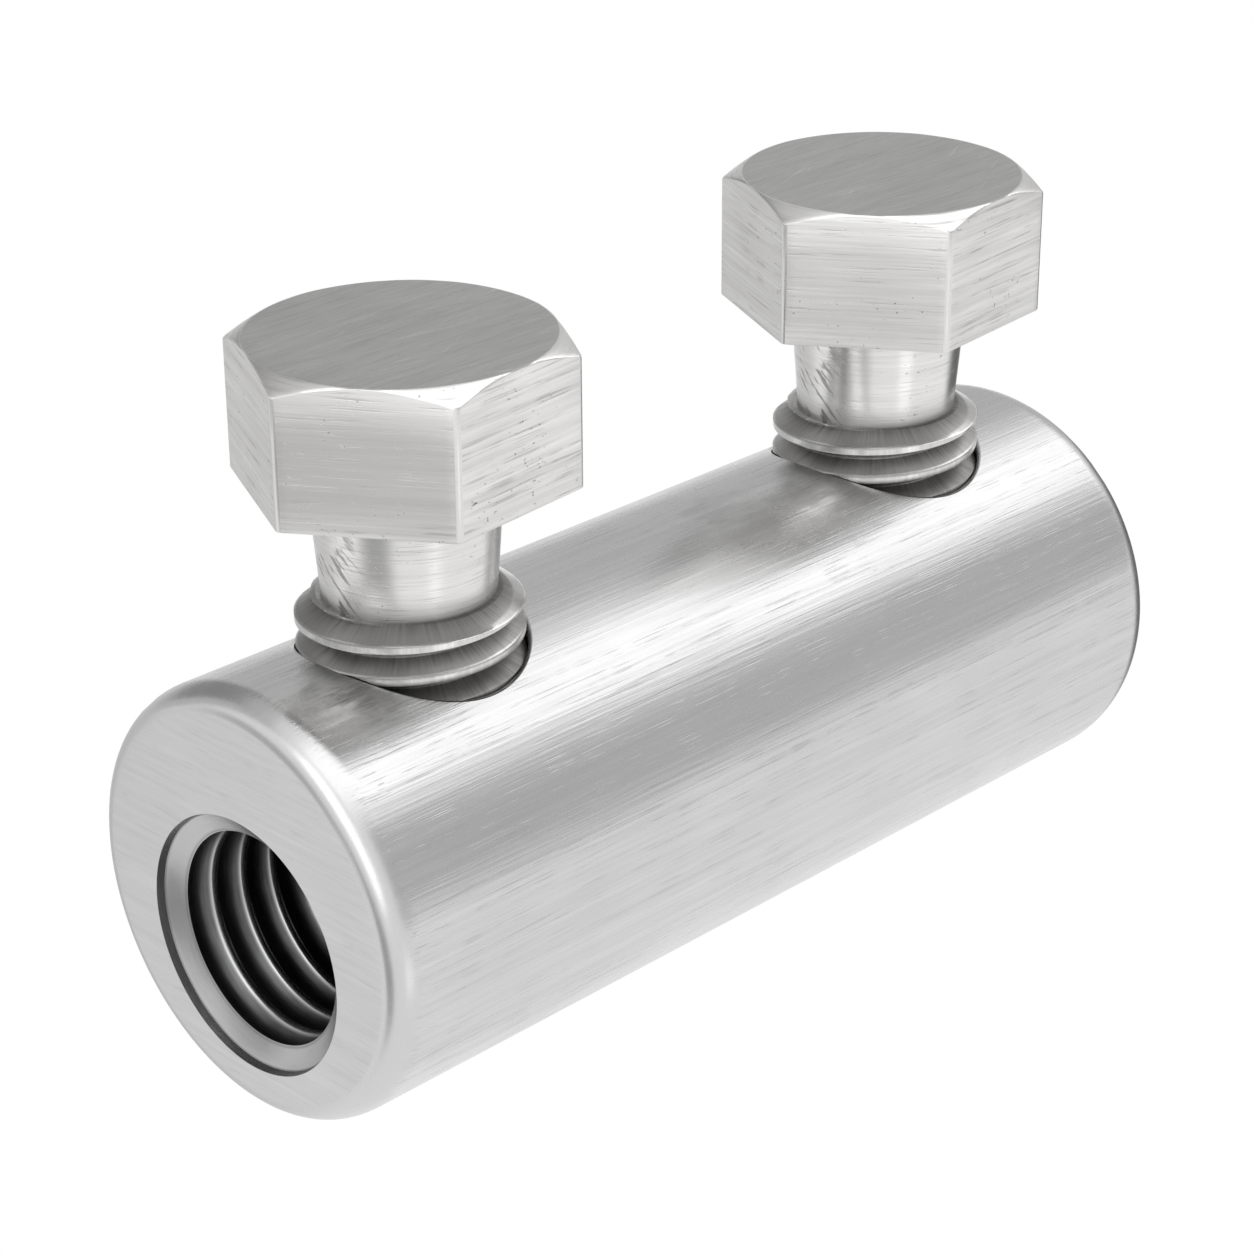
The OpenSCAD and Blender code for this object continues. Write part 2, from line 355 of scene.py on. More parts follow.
def groove_places(b):
    """Depths at which the bore's profile is drawn, and the depths of the grooves' middles."""
    width = b.pitch - b.land
    count = int((b.depth - b.plain - b.lead_depth - width) // b.pitch) + 1
    middles = b.lead_depth + width / 2 + np.arange(count) * b.pitch
    half = (0.2, 0.38, 0.46, 0.5, 0.54, 0.59)
    across = np.sort([*(-part for part in half), 0, *half, 0.645])
    places = (middles[:, None] + across * width).reshape(-1)
    return places[places > b.lead_depth - 0.001], middles


def bore_radius(b, depths):
    """Radius of the bore at each depth: that of the round groove there, or of a ridge, which is
    rounded by a parabola from its middle to the grooves' edges."""
    width = b.pitch - b.land
    sunk = b.groove - b.crown
    groove = (width**2 / 4 + sunk**2) / (2 * sunk)
    middles = groove_places(b)[1]
    away = np.abs(depths[:, None] - middles).min(axis=1)
    inside = np.sqrt(np.maximum(groove**2 - away**2, 0)) + b.bore + b.groove - groove
    ridge = b.bore + b.crown * np.clip(1 - (away - width / 2) / (b.land / 2), 0, 1) ** 2
    return np.where(away < width / 2, inside, ridge)


def hole_angles(b, reach, side):
    """Angles of the columns round a tapped hole, from 0 to half a turn. They pass through the lines
    of the bore's grooves and the corners of the patch in the body's skin round the hole."""
    widest = 0.985  # share of the hole's radius that the grooves' lines cover
    apart = math.radians(1.3)  # least angle to the other columns
    places = groove_places(b)[0] - b.inset
    fixed = np.arccos(places[np.abs(places) < b.runout * widest] / b.runout)
    corner = math.atan2(side, reach)
    fixed = np.concatenate([fixed, [0, corner, math.pi - corner, math.pi]])
    even = np.linspace(0, math.pi, 61)
    even = even[np.abs(even[:, None] - fixed).min(axis=1) > apart]
    return np.sort(np.concatenate([fixed, even]))


def open_angle(b, wide, bore):
    """Angle from above at which the bore's round begins beside a tapped hole: where the hole's wall,
    this wide from the middle, meets it or, where the hole is the wider, where its floor does."""
    floor = np.arccos((b.drop - b.floor_drop) / bore)
    return np.where(wide < bore, np.arcsin(np.minimum(wide / bore, 1)), floor)


def hole_rows(b, t, x, turns, border):
    """Points from the patch's border, straight in plan, to a tapped hole's rim, over its broken
    edge and down its relief, thread and run-out to the bore, and their slots."""
    rim = np.stack([np.cos(turns), np.sin(turns)]) * b.rim
    way = np.linspace(0, 1, 15)[:, None, None] ** 0.7
    plan = border + (rim - border) * way
    patch = np.stack([x + plan[:, 0], plan[:, 1], np.sqrt(b.radius**2 - plan[:, 1] ** 2)], axis=-1)
    rows, slots = [patch], [SIDE] * (len(way) - 1)
    for part in (0.04, 0.15, 0.4, 0.7, 1.0):
        radius = b.rim + (b.relief - b.rim) * part
        height = np.sqrt(b.radius**2 - (radius * np.sin(turns)) ** 2) - b.rim_drop * part**1.25
        rows.append(turned([(radius, height)], turns, x))
        slots.append(SIDE)
    for part in (0.1, 0.5, 1.0):
        rows.append(turned([(b.relief, height + (b.relief_low - height) * part)], turns, x))
    heights = thread_rows(t, b.runout_top, b.relief_low, turns, t.hole_side, coarse=True)
    radii = thread_radius(t, heights, turns, b.top_crest, t.hole_side, t.hole_root, t.hole_crest)
    rows.append(turned(zip(radii, heights), turns, x))
    depths = b.inset + b.runout * np.cos(turns)
    wide = b.runout * np.abs(np.sin(turns))
    bore = bore_radius(b, depths)
    end = np.where(wide < bore, np.sqrt(np.maximum(bore**2 - wide**2, 0)) - b.drop, -b.floor_drop)
    for part in (0.0, 0.35, 0.7, 1.0):
        rows.append(turned([(b.runout, b.runout_top + (end - b.runout_top) * part)], turns, x))
    free = open_angle(b, wide, bore)
    across = np.sign(np.sin(turns)) * bore * np.sin(free)
    across[[0, len(turns) // 2, -1]] = 0
    rows.append(np.stack([depths - b.half, across, bore * np.cos(free) - b.drop], axis=-1)[None])
    points = np.concatenate(rows)
    return points, slots + [HOLE] * (len(points) - 1 - len(slots))


def end_rows(b, straight, half, columns):
    """Points from the straight skin round the body's edge, over the end face and through the mouth
    to the bottom of the bore, and their slots. Where the tapped hole cuts the bore, the columns are
    spread over what is left of its round."""
    begin = -b.half
    bend = np.linspace(0, math.pi / 2, 13)[1:]
    places = np.concatenate([straight, begin + b.edge_along * (1 - np.sin(bend))])
    radii = b.radius - b.edge_across * (1 - np.cos(bend))
    radii = np.concatenate([np.full(len(straight), b.radius), radii])
    rows, slots = [along_x(places, radii, columns)], [SIDE] * (len(places) - 1)
    outer, mouth = rows[0][-1], along_x(begin, b.mouth, columns, b.drop)[0]
    way = np.array([0.08, 0.3, 0.55, 0.8, 0.95])[:, None, None]
    rows.append(outer + (mouth - outer) * way)
    slots += [FACE] * (len(way) + 1)

    # the mouth's wall and its cone, with a bend between them and a little before the bore
    soft, end = 0.04, 0.03
    wall, low = (b.mouth - b.lead) / b.chamfer, b.bore + b.crown
    cone = (b.lead - low) / (b.lead_depth - b.chamfer)
    places = np.array([0, soft, b.chamfer - soft, b.chamfer + soft, b.lead_depth - end])
    radii = [b.mouth, b.mouth - soft * wall, b.lead + soft * wall, b.lead - soft * cone,
             low + end * cone]
    rows.append(along_x(places + begin, radii, columns, b.drop))

    # the bore before the hole, beside it and behind it, and its bottom
    apart = 0.02
    grooves = groove_places(b)[0]
    before = grooves[grooves < b.inset - b.runout - apart]
    behind = grooves[grooves > b.inset + b.runout + apart]
    span = b.inset + b.runout * np.cos(half[::-1])
    last = behind[-1] if len(behind) else span[-1]
    behind = np.concatenate([behind, np.linspace(last, b.depth, 4)[1:]])
    beside, wide = bore_radius(b, span), b.runout * np.sin(half[::-1])
    wide[0] = wide[-1] = 0
    free = open_angle(b, wide, beside)[:, None]
    for places, radii, angles in (
        (before, bore_radius(b, before), columns),
        (span, beside, free + (TURN - 2 * free) * columns / TURN),
        (behind, bore_radius(b, behind), columns),
        (np.full(4, b.depth), np.array([0.97, 0.7, 0.35, 0]) * b.bore, columns),
    ):
        rows.append(along_x(places + begin, radii, angles, b.drop))
    points = np.concatenate(rows)
    return points, slots + [BORE] * (len(points) - 1 - len(slots))


def body_surface(b, t):
    """One half of the body as four sheets, mirrored at the middle.

    The skin is a cylinder about X with a patch left out round the tapped hole, from which the
    first sheet leads down the hole to the bore. The second lies beside the patch, and the third
    between it and the middle. The last one runs from the patch round the end face into the bore.
    """
    skin = Skin()
    x = -b.half + b.inset
    reach, spread = 9.5, math.radians(50)  # half the patch, along X and round it
    side = b.radius * math.sin(spread)
    corner = math.atan2(side, reach)
    half = hole_angles(b, reach, side)
    turns = np.concatenate([half, TURN - half[-2::-1]])
    way = np.stack([np.cos(turns), np.sin(turns)])
    border = way * np.minimum(*(np.array([[reach], [side]]) / np.maximum(np.abs(way), TINY)))
    skin.grid(*hole_rows(b, t, x, turns, border), flip=True)

    rest = np.linspace(spread, TURN - spread, ROUND_COLUMNS)

    def loop(angles):
        """Skin angles round the body, from the top and back to it, with those of the patch."""
        near = np.arcsin(np.clip(reach * np.tan(angles) / b.radius, -1, 1))
        return np.concatenate([near, rest[1:-1], TURN - near[::-1]])

    left = loop(math.pi - half[half >= math.pi - corner - TINY][::-1])
    right = loop(half[half <= corner + TINY])
    beside = side / np.tan(half[(half >= corner - TINY) & (half <= math.pi - corner + TINY)])
    skin.grid(along_x(x + beside, b.radius, rest), SIDE, flip=True)
    skin.grid(along_x(np.linspace(x + reach, 0, 13)[::-1], b.radius, right), SIDE, flip=True)
    straight = np.linspace(x - reach, b.edge_along - b.half, 4)
    skin.grid(*end_rows(b, straight, half, left), flip=True)

    skin.mirrored()
    for points in skin.points:
        points[:, 2] += b.radius
    return skin


def corner_begins(s):
    """Angle from the middle of the head's flat at which its rounded corner begins."""
    inradius = s.across / 2
    return math.atan((inradius - s.corner) * math.tan(math.pi / 6) / inradius)


def hex_columns(s):
    """Angles round the head: even steps on the flats and close ones round the rounded corners."""
    touch = corner_begins(s)
    flat = np.linspace(-touch, touch, 25)
    bend = np.linspace(touch, math.pi / 3 - touch, 8)[1:-1]
    one = np.concatenate([flat, bend])
    every = (one[None] + np.arange(2, 8)[:, None] * math.pi / 3).reshape(-1) + s.turn - math.pi / 6
    return np.append(every, every[0] + TURN), np.tile(np.arange(len(one)) >= len(flat) - 1, 6)


def hex_radius(s, turns):
    """Distance of the hexagon's side at each angle. A flat lies at a / cos(angle from its middle),
    and a corner is a circle that touches both flats."""
    inradius = s.across / 2
    centre = (inradius - s.corner) / math.cos(math.pi / 6)
    away = (turns - s.turn) % (math.pi / 3)
    away = np.minimum(away, math.pi / 3 - away)
    bend = np.sqrt(np.maximum(s.corner**2 - (centre * np.sin(away)) ** 2, 0)) + centre * np.cos(away)
    flat = inradius / np.cos(math.pi / 6 - away)
    return np.where(away < math.pi / 6 - corner_begins(s), bend, flat)


def bolt_surface(s, t, x):
    """A shear bolt as one sheet of rows round its axis, from the middle of the head's top over its
    chamfer, flats and underside, down the neck and thread, to the socket in the tip."""
    turns, corners = hex_columns(s)
    side = hex_radius(s, turns)
    bevel = s.bevel
    fillet = 0.22  # between head and neck
    widening = 0.9  # of the tip's chamfer, for each millimetre up

    def on_chamfer(radius):
        return s.top - np.maximum(radius - s.flat, 0) * math.tan(s.slope)

    rows, slots = [], []

    def add(slot, *profile):
        rows.append(turned(profile, turns, x))
        slots.extend([slot] * len(profile))

    inner = np.minimum(s.flat - 0.06, side - bevel)
    add(TOP, *[(radius, s.top) for radius in (0, 2, 4, 6, 7.4)])
    add(TOP, (inner - 0.05, s.top), (inner, s.top - 0.004))
    for way in (0.12, 0.4, 0.7, 1.0):
        radius = s.flat + (side - bevel - s.flat) * way
        add(FLATS, (radius, on_chamfer(radius) - 0.01))
    edge = on_chamfer(side)
    add(FLATS, (side - bevel * 0.25, edge - bevel * 0.3), (side, edge - bevel))
    fall = s.under + bevel - edge + bevel
    add(FLATS, *[(side, edge - bevel + fall * w) for w in (0.33, 0.66, 1.0)])
    add(FLATS, (side - bevel * 0.3, s.under + bevel * 0.3), (side - bevel, s.under))
    add(NECK, *[(side - (side - s.neck_top - fillet) * w, s.under) for w in (0.35, 0.7, 1.0)])
    for bend in np.linspace(0, math.pi / 2, 5)[1:]:
        add(NECK, (s.neck_top + fillet * (1 - math.sin(bend)), s.under - fillet * (1 - math.cos(bend))))
    wider, longer = s.neck_foot - s.neck_top, s.foot - s.under + fillet
    for way in np.linspace(0, 1, 9)[1:]:
        add(NECK, (s.neck_top + wider * way, s.under - fillet + longer * way))
    # thread, under the cone that ends it below the neck and over the tip's chamfer
    slope = flank_slope(t)
    heights = thread_rows(t, s.tip + 0.001, s.foot, turns, 0)
    cut = s.foot - (t.crest - t.root) * slope
    held = cut + t.soft * slope * np.array([-1, -0.4, 0.3, 1])
    held = np.broadcast_to(held[:, None], (len(held), len(turns)))
    heights = np.sort(np.concatenate([heights, held]), axis=0)
    radii = thread_radius(t, heights, turns, top_crest(s, t), 0, t.root, t.crest)
    radii = np.minimum(radii, t.crest - rounded_corner((heights - cut) / slope, t.soft))
    radii = np.minimum(radii, s.tip_radius + (heights - s.tip) * widening)
    rows.append(turned(zip(radii, heights), turns, x)[::-1])
    slots += [THREAD] * len(heights)
    lip, end = s.tip + s.socket_l, s.tip + (s.socket_l + s.undercut_l)
    add(THREAD, (s.tip_radius, s.tip), (3, s.tip), (s.socket, s.tip), (s.socket, lip))
    add(THREAD, (s.undercut, lip), (s.undercut, end), (0, end))
    points = np.concatenate(rows)
    slots = np.repeat(np.array(slots[1:])[:, None], len(corners), axis=1)
    upright = np.ptp(points[:-1, :, :2] - points[1:, :, :2], axis=(1, 2)) < 0.001
    slots[upright[:, None] & (slots == FLATS) & corners] = EDGE
    steps = np.linalg.norm(np.diff(points, axis=0), axis=-1).mean(axis=1)
    down = np.concatenate([[0], np.cumsum(steps)])
    flat = np.stack(np.broadcast_arrays(turns * t.crest, down[:, None]), axis=-1)
    skin = Skin()
    skin.grid(points, slots, flat=flat)
    return skin


def pad_surface(p, x):
    """A pressure pad: a chamfered disc with a headed stud, as a profile turned round the bolt."""
    top = p.low + p.thick
    high = top + p.stud_l
    end, soft, fine = high + p.head_h, 0.1, 0.05  # chamfers of the stud's head and the disc's top
    profile = [
        (0, end), (p.head - soft, end), (p.head, end - soft), (p.head, high),
        (p.stud, high), (p.stud, top), (p.radius - fine, top), (p.radius, top - fine),
        (p.radius, p.low + p.chamfer), (p.radius - p.chamfer, p.low), (p.radius / 2, p.low), (0, p.low),
    ]
    skin = Skin()
    skin.grid(turned(profile, np.linspace(0, TURN, 97), x))
    return skin


class Value:
    """A number in a shader, with Python's arithmetic."""

    def __init__(self, shader, socket):
        self.shader, self.socket = shader, socket

    def math(self, operation, *values, clamp=False):
        return self.shader.node("ShaderNodeMath", {"operation": operation, "use_clamp": clamp}, *values)

    def __add__(self, other):
        return self.math("ADD", self, other)

    __radd__ = __add__

    def __sub__(self, other):
        return self.math("SUBTRACT", self, other)

    def __rsub__(self, other):
        return self.math("SUBTRACT", other, self)

    def __mul__(self, other):
        return self.math("MULTIPLY", self, other)

    __rmul__ = __mul__

    def __truediv__(self, other):
        return self.math("DIVIDE", self, other)

    def __pow__(self, other):
        return self.math("POWER", self, other)

    def __abs__(self):
        return self.math("ABSOLUTE", self)

    def clamped(self):
        return self.math("ADD", self, 0.0, clamp=True)

    def above(self, low, high):
        """0 below low, 1 over high, with a soft step between them."""
        return self.shader.node("ShaderNodeMapRange", {"interpolation_type": "SMOOTHSTEP"},
                                Value=self, From_Min=low, From_Max=high)


class Shader:
    """A material, or the world, whose nodes are added by expressions."""

    def __init__(self, material, surface="Principled BSDF"):
        material.use_nodes = True
        self.material, self.tree = material, material.node_tree
        self.surface = self.tree.nodes[surface]

    def feed(self, slot, value):
        if isinstance(value, Value):
            self.tree.links.new(value.socket, slot)
        else:
            slot.default_value = value

    def node(self, kind, settings=None, *values, output=None, **sockets):
        """Adds a node: its type, its settings, then values or links of its sockets, in order or by
        name with an underscore for a space. The result is the named output, or the first in use."""
        node = self.tree.nodes.new(kind)
        for key, value in (settings or {}).items():
            setattr(node, key, value)
        used = [slot for slot in node.inputs if slot.enabled]
        for slot, value in zip(used, values):
            self.feed(slot, value)
        for name, value in sockets.items():
            self.feed(next(slot for slot in used if slot.name == name.replace("_", " ")), value)
        chosen = node.outputs[output] if output else next(o for o in node.outputs if o.enabled)
        return Value(self, chosen)

    def coordinates(self, kind):
        return self.node("ShaderNodeTexCoord", output=kind)

    def place(self):
        """Object coordinates in millimetres."""
        return self.scaled(self.coordinates("Object"), (1000, 1000, 1000))

    def unrolled(self):
        """Places on the unrolled surface, in millimetres: round the bolt, then down it."""
        return self.coordinates("UV")

    def part(self, vector, axis):
        return self.node("ShaderNodeSeparateXYZ", None, vector, output=axis)

    def against(self, vector, other, operation="DOT_PRODUCT"):
        """The dot product with, or the distance from, another vector."""
        return self.node("ShaderNodeVectorMath", {"operation": operation}, vector, other)

    def scaled(self, vector, factors):
        return self.node("ShaderNodeVectorMath", {"operation": "MULTIPLY"}, vector, factors)

    def turned(self, vector, degrees):
        """The vector turned about Z."""
        return self.node("ShaderNodeVectorRotate", {"rotation_type": "Z_AXIS"},
                         Vector=vector, Angle=math.radians(degrees))

    def noise(self, vector, scale=1.0, detail=3.0, rough=0.5):
        return self.node("ShaderNodeTexNoise", Vector=vector, Scale=scale, Detail=detail,
                         Roughness=rough)

    def mix(self, factor, first, second):
        """A mix of two colours."""
        return self.node("ShaderNodeMix", {"data_type": "RGBA"}, Factor=factor, A=first, B=second)

    def set(self, **sockets):
        for name, value in sockets.items():
            self.feed(self.surface.inputs[name.replace("_", " ")], value)

    def bump(self, height, depth):
        """A bump whose height is a share of depth, in millimetres."""
        return self.node("ShaderNodeBump", Strength=1.0, Distance=depth * MM, Height=height)


def rgba(rgb, factor=1.0):
    return tuple(min(c * factor, 1.0) for c in rgb) + (1.0,)


LIT = 1.35  # factor on a metal's colour where it is lightest
# the darkest share is reached by wear, stains and painted shade
DARKEST_SHARE = (0.355, 0.35, 0.342)  # and where it is darkest


def brushed(name, rgb, rough, fine, broad, contrast=0.1, depth=0.004, lines=0.0, pits=0.0, scratches=0.0,
            unrolled=False, wear_and_shade=None, calm=None):
    """Metal with brushing marks. fine and broad are the stretches of the marks along X, Y and Z, or
    round and down the unrolled surface, as changes in each millimetre. Lines are thin dark marks
    along the brushing, pits small dark spots, and scratches long thin ones. wear_and_shade gives
    further darkness, of wear, stains and painted shade, and less of it for painted highlights,
    from the shader, the place and the broad marks. calm has the distances from the middle
    between which the marks fade."""
    s = Shader(bpy.data.materials.new(name))
    place = s.place()
    along = s.unrolled() if unrolled else place
    marks = s.noise(s.scaled(along, fine), detail=4.0, rough=0.62)
    bands = s.noise(s.scaled(along, broad), detail=3.0, rough=0.55)
    cloud = s.noise(place, scale=0.16, detail=2.0)
    dark = (0.5 - marks) * contrast * 1.3 + (0.5 - bands) * contrast + (0.5 - cloud) * contrast * 0.5
    height = marks * 0.5 + bands * 0.5
    if lines:
        finer = tuple(f * 1.7 for f in fine)
        cut = s.noise(s.scaled(along, finer), detail=1.5, rough=0.6).above(0.57, 0.66)
        cut = cut * s.noise(place, scale=0.6, detail=2.0).above(0.3, 0.65) * lines
        dark, height = dark + cut * 0.35, height - cut * 0.35
    if pits:
        spots = s.noise(s.scaled(place, (1.0, 1.0, 1.6)), scale=2.6, detail=2.0, rough=0.7)
        pit = spots.above(0.67, 0.72) * s.noise(place, scale=0.3, detail=1.0).above(0.42, 0.62) * pits
        dark, height = dark + pit * 0.6, height - pit * 1.2
    if scratches:
        for turn, size in ((12, 0.31), (-21, 0.27)):
            wave = s.noise(s.scaled(s.turned(place, turn), (0.05, 1.6, 1.6)), detail=0.0)
            line = (1.0 - abs((wave - 0.5) * 90.0)).clamped()
            line = line * s.noise(place, scale=size, detail=1.0).above(0.46, 0.6) * scratches
            dark, height = dark - line * 0.3, height - line * 0.5
    if calm:
        still = 1.0 - abs(s.part(place, "X")).above(*calm) * 0.85
        dark, height = dark * still, height * still
    # further darkness of wear, stains and painted shade, and lightness of painted highlights
    if wear_and_shade:
        dark = dark + wear_and_shade(s, place, bands)
    darkest = tuple(c * kept for c, kept in zip(rgb, DARKEST_SHARE))
    s.set(
        Base_Color=s.mix((dark * 0.7 + 0.35).clamped(), rgba(rgb, LIT), rgba(darkest)),
        Metallic=1.0,
        Roughness=(dark * 0.4 + rough + (bands - 0.5) * 0.12).clamped(),
        Normal=s.bump(height, depth),
    )


# Dark patches on the body beside the bolts, partly dull stains and partly painted reflections of the
# bolts: the place, the radius and the strength of each
STAINS_AND_REFLECTIONS = (
    ((-25.0, -3.4, 23.5), 3.6, 1.25),
    ((11.0, -2.6, 23.7), 4.0, 0.75),
    ((4.0, -1.8, 23.9), 4.0, 0.5),
)


def stains_and_painted_reflections(s, place, bands):
    """Stains and painted reflections of the bolts, with a ragged outline, by the distance from each
    one's place.
    """
    dark = 0.0
    grain = s.noise(s.scaled(place, (0.5, 2.6, 2.6)), detail=5.0, rough=0.65)
    cloud = s.noise(s.scaled(place, (0.4, 0.7, 0.7)), detail=4.0, rough=0.6)
    # each patch darkens the colour: a stain, or a painted reflection of a bolt
    for centre, radius, strength in STAINS_AND_REFLECTIONS:
        far = s.against(place, centre, "DISTANCE") + (cloud - 0.5) * radius * 2.0
        dark = (1.0 - far.above(0.0, radius)) * (grain * 1.6 - 0.3) * strength + dark
    return dark


def thread_marks_and_painted_light(b, t, h):
    """Painted shade and painted highlights on the thread, which also make it rougher where darker:
    painted shade near its root, on its upper flanks with radial streaks, and all over below its
    second turn, by the height over a line that climbs with the thread. A painted highlight lightens
    it just inside the crest's radius."""
    def wear_and_shade(s, place, bands):
        along, across = abs(s.part(place, "X")) - (b.half - b.inset), s.part(place, "Y")
        off = (along * along + across * across) ** 0.5  # from the axis of the nearer bolt
        angle_on = s.part(s.unrolled(), "X") / t.crest - t.crest_at
        climbed = s.part(place, "Z") - angle_on * (t.pitch / TURN)
        # painted shade all over below the second turn, where the thread sits in the hole
        low = 1.0 - climbed.above(h.foot - 1.6 * t.pitch, h.foot - 1.45 * t.pitch)
        # painted highlight at the crest's corners
        rim = off.above(t.crest - 0.14, t.crest - 0.06) - off.above(t.crest - 0.03, t.crest)
        turn = (climbed - top_crest(h, t)) / t.pitch
        turn = turn.math("FRACT", turn)
        # painted shade on the upper flanks, with radial streaks
        flank = (turn.above(0.04, 0.1) - turn.above(0.5, 0.55)) * ((bands - 0.5) * 0.9 + 0.48)
        # painted shade towards the root
        inner = 1.0 - off.above(h.neck_foot, t.crest - 0.1)
        return low * 0.78 + (1.0 - low) * (inner * 0.4 + flank - rim * 0.4)
    return wear_and_shade


def worn_neck(h):
    """Neck with slanting gouges, that is dull just over the place where it shears."""
    def wear_and_shade(s, place, bands):
        flat, height = s.unrolled(), s.part(place, "Z")
        gouge = s.noise(s.scaled(s.turned(flat, -38), (0.5, 3.0, 1)), detail=2.0).above(0.56, 0.63)
        gouge = gouge * (s.part(flat, "X").above(14.5, 16.0) - s.part(flat, "X").above(19.0, 21.5))
        gouge = gouge * (1.0 - height.above(h.under - 0.5, h.under - 0.3))
        return (1.0 - height.above(h.foot, h.foot + 1.6)) * (bands + 0.3) * 0.6 + gouge * 0.6
    return wear_and_shade


def bore_metal(name, rgb, rough, b):
    """Metal of the bores, with painted shade: light on the ridges and near the mouth, and darker in the
    grooves, by the distance from the bore's axis, on the mouth's wall and towards the bottom."""
    s = Shader(bpy.data.materials.new(name))
    place = s.place()
    marks = s.noise(s.scaled(place, (6, 0.5, 0.5)), detail=4.0, rough=0.6)
    cloud = s.noise(place, scale=0.35, detail=3.0)
    radius = s.against(s.scaled(place, (0, 1, 1)), (0, 0, b.radius - b.drop), "DISTANCE")
    out = abs(s.part(place, "X"))
    cone, wall = b.half - b.lead_depth, b.half - b.chamfer
    sunk = radius.above(b.bore + b.crown * 0.4, b.bore + b.groove * 0.5)
    sunk = sunk * (1.0 - out.above(cone, cone + 0.1))
    deep = 1.0 - out.above(b.half - 12, b.half - 1)
    tone = (marks - 0.5) * 0.25 + (cloud - 0.5) * 0.3
    # painted shade in the grooves, on the mouth's wall and deep in the bore
    shade = (sunk * 0.85 + out.above(wall - 0.03, wall) * 0.45 + deep * 0.2 - tone).clamped()
    s.set(
        Base_Color=s.mix(shade, rgba(rgb), rgba(rgb, 0.12)),
        Metallic=1.0,
        Roughness=(rough + sunk * 0.12 + (cloud - 0.5) * 0.1).clamped(),
        Normal=s.bump(marks, 0.008),
    )


def make_materials(f, b, t, h):
    """Makes every material of the object."""
    def tint(rgb, factor):
        return tuple(c * factor for c in rgb)

    brushed("tinned_side", f.tin, f.rough, (0.08, 4.4, 4.4), (0.04, 1.5, 1.5), contrast=0.26, depth=0.03,
            lines=0.5, wear_and_shade=stains_and_painted_reflections, calm=(b.half - 1.6, b.half - 0.9))
    brushed("tinned_end", tint(f.tin, 1.03), f.rough + 0.08, (1, 0.16, 5), (1, 0.08, 1.6), contrast=0.2,
            depth=0.012, lines=0.3)
    bore_metal("bore_wall", f.bore, f.rough, b)
    # tapped hole: a darker copy of the bolt metal, painted shade inside the hole
    brushed("tapped_wall", tint(f.bare, 0.55), f.rough + 0.05, (0.6, 0.6, 5), (0.4, 0.4, 2),
            contrast=0.15, depth=0.006)
    # head's top: a darker copy of the bolt metal, painted shade on the top face
    brushed("head_top", tint(f.bare, 0.66), f.rough + 0.1, (0.3, 5, 5), (0.1, 1.5, 2), contrast=0.42,
            depth=0.014, lines=0.4, pits=0.2, scratches=1.0)
    brushed("head_flats", f.bare, f.rough + 0.05, (0.1, 0.1, 4.6), (0.05, 0.05, 1.8), contrast=0.5,
            depth=0.014, lines=0.9, pits=1.2)
    brushed("head_edge", tint(f.bare, 0.98), f.rough, (0.5, 0.5, 2), (0.3, 0.3, 0.7),
            depth=0.003, pits=0.3)
    brushed("turned_neck", f.bare, f.rough - 0.06, (0.15, 0.15, 6), (0.1, 0.1, 2.2), contrast=0.3,
            depth=0.012, lines=0.6, pits=0.8, wear_and_shade=worn_neck(h))
    # thread: darker than the bolt metal, with painted shade and painted highlights
    brushed("thread_metal", tint(f.bare, 0.86), f.rough - 0.1, (5.0, 0.3, 1), (1.6, 0.3, 1),
            contrast=0.5, depth=0.007, lines=0.3, unrolled=True, wear_and_shade=thread_marks_and_painted_light(b, t, h))
    brushed("pad_metal", f.bare, f.rough, (0.6, 5, 0.6), (0.2, 1.5, 0.2))


def sizes(*groups):
    """Settings groups by name, with their lengths in millimetres."""
    return [in_mm(getattr(bpy.context.scene, "connector_" + group)) for group in groups]


def finish(*names):
    """Materials by name, which are all made when the first is needed."""
    if names[0] not in bpy.data.materials:
        make_materials(bpy.context.scene.connector_finish, *sizes("body", "thread", "bolt"))
    return [bpy.data.materials[name] for name in names]


def bolts(b):
    """Each bolt's end of the body and its place on X."""
    return ("near", b.inset - b.half), ("far", b.half - b.inset)


def settle(piece, body, node):
    """Ties a piece to its body and hides the node it stands for."""
    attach(piece, body)
    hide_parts(node)


class CONNECTOR_OT_body(bpy.types.Operator):
    """Builds the round body with its two bores and two tapped holes"""

    bl_idname = "connector.body"
    bl_label = "Body"

    def execute(self, context):
        b, t, s = sizes("body", "thread", "bolt")
        b.top_crest = top_crest(s, t) - b.radius
        materials = finish("tinned_side", "tinned_end", "bore_wall", "tapped_wall")
        piece = body_surface(b, t).build("body_skin", materials)
        round_normals(piece.data, b.radius)
        settle(piece, "body", "connector_body")
        return {"FINISHED"}


class CONNECTOR_OT_bolts(bpy.types.Operator):
    """Builds the two shear bolts"""

    bl_idname = "connector.bolts"
    bl_label = "Shear bolts"

    def execute(self, context):
        b, t, s = sizes("body", "thread", "bolt")
        materials = finish("head_top", "head_flats", "turned_neck", "thread_metal", "head_edge")
        for end, x in bolts(b):
            piece = bolt_surface(s, t, x).build(end + "_bolt_skin", materials, sharp=24)
            settle(piece, end + "_bolt", end + "_shear_bolt")
        return {"FINISHED"}


class CONNECTOR_OT_pads(bpy.types.Operator):
    """Builds the two pressure pads under the bolts"""

    bl_idname = "connector.pads"
    bl_label = "Pressure pads"

    def execute(self, context):
        b, p = sizes("body", "pad")
        for end, x in bolts(b):
            piece = pad_surface(p, x).build(end + "_pad_skin", finish("pad_metal"))
            settle(piece, end + "_pad", end + "_pressure_pad")
        return {"FINISHED"}


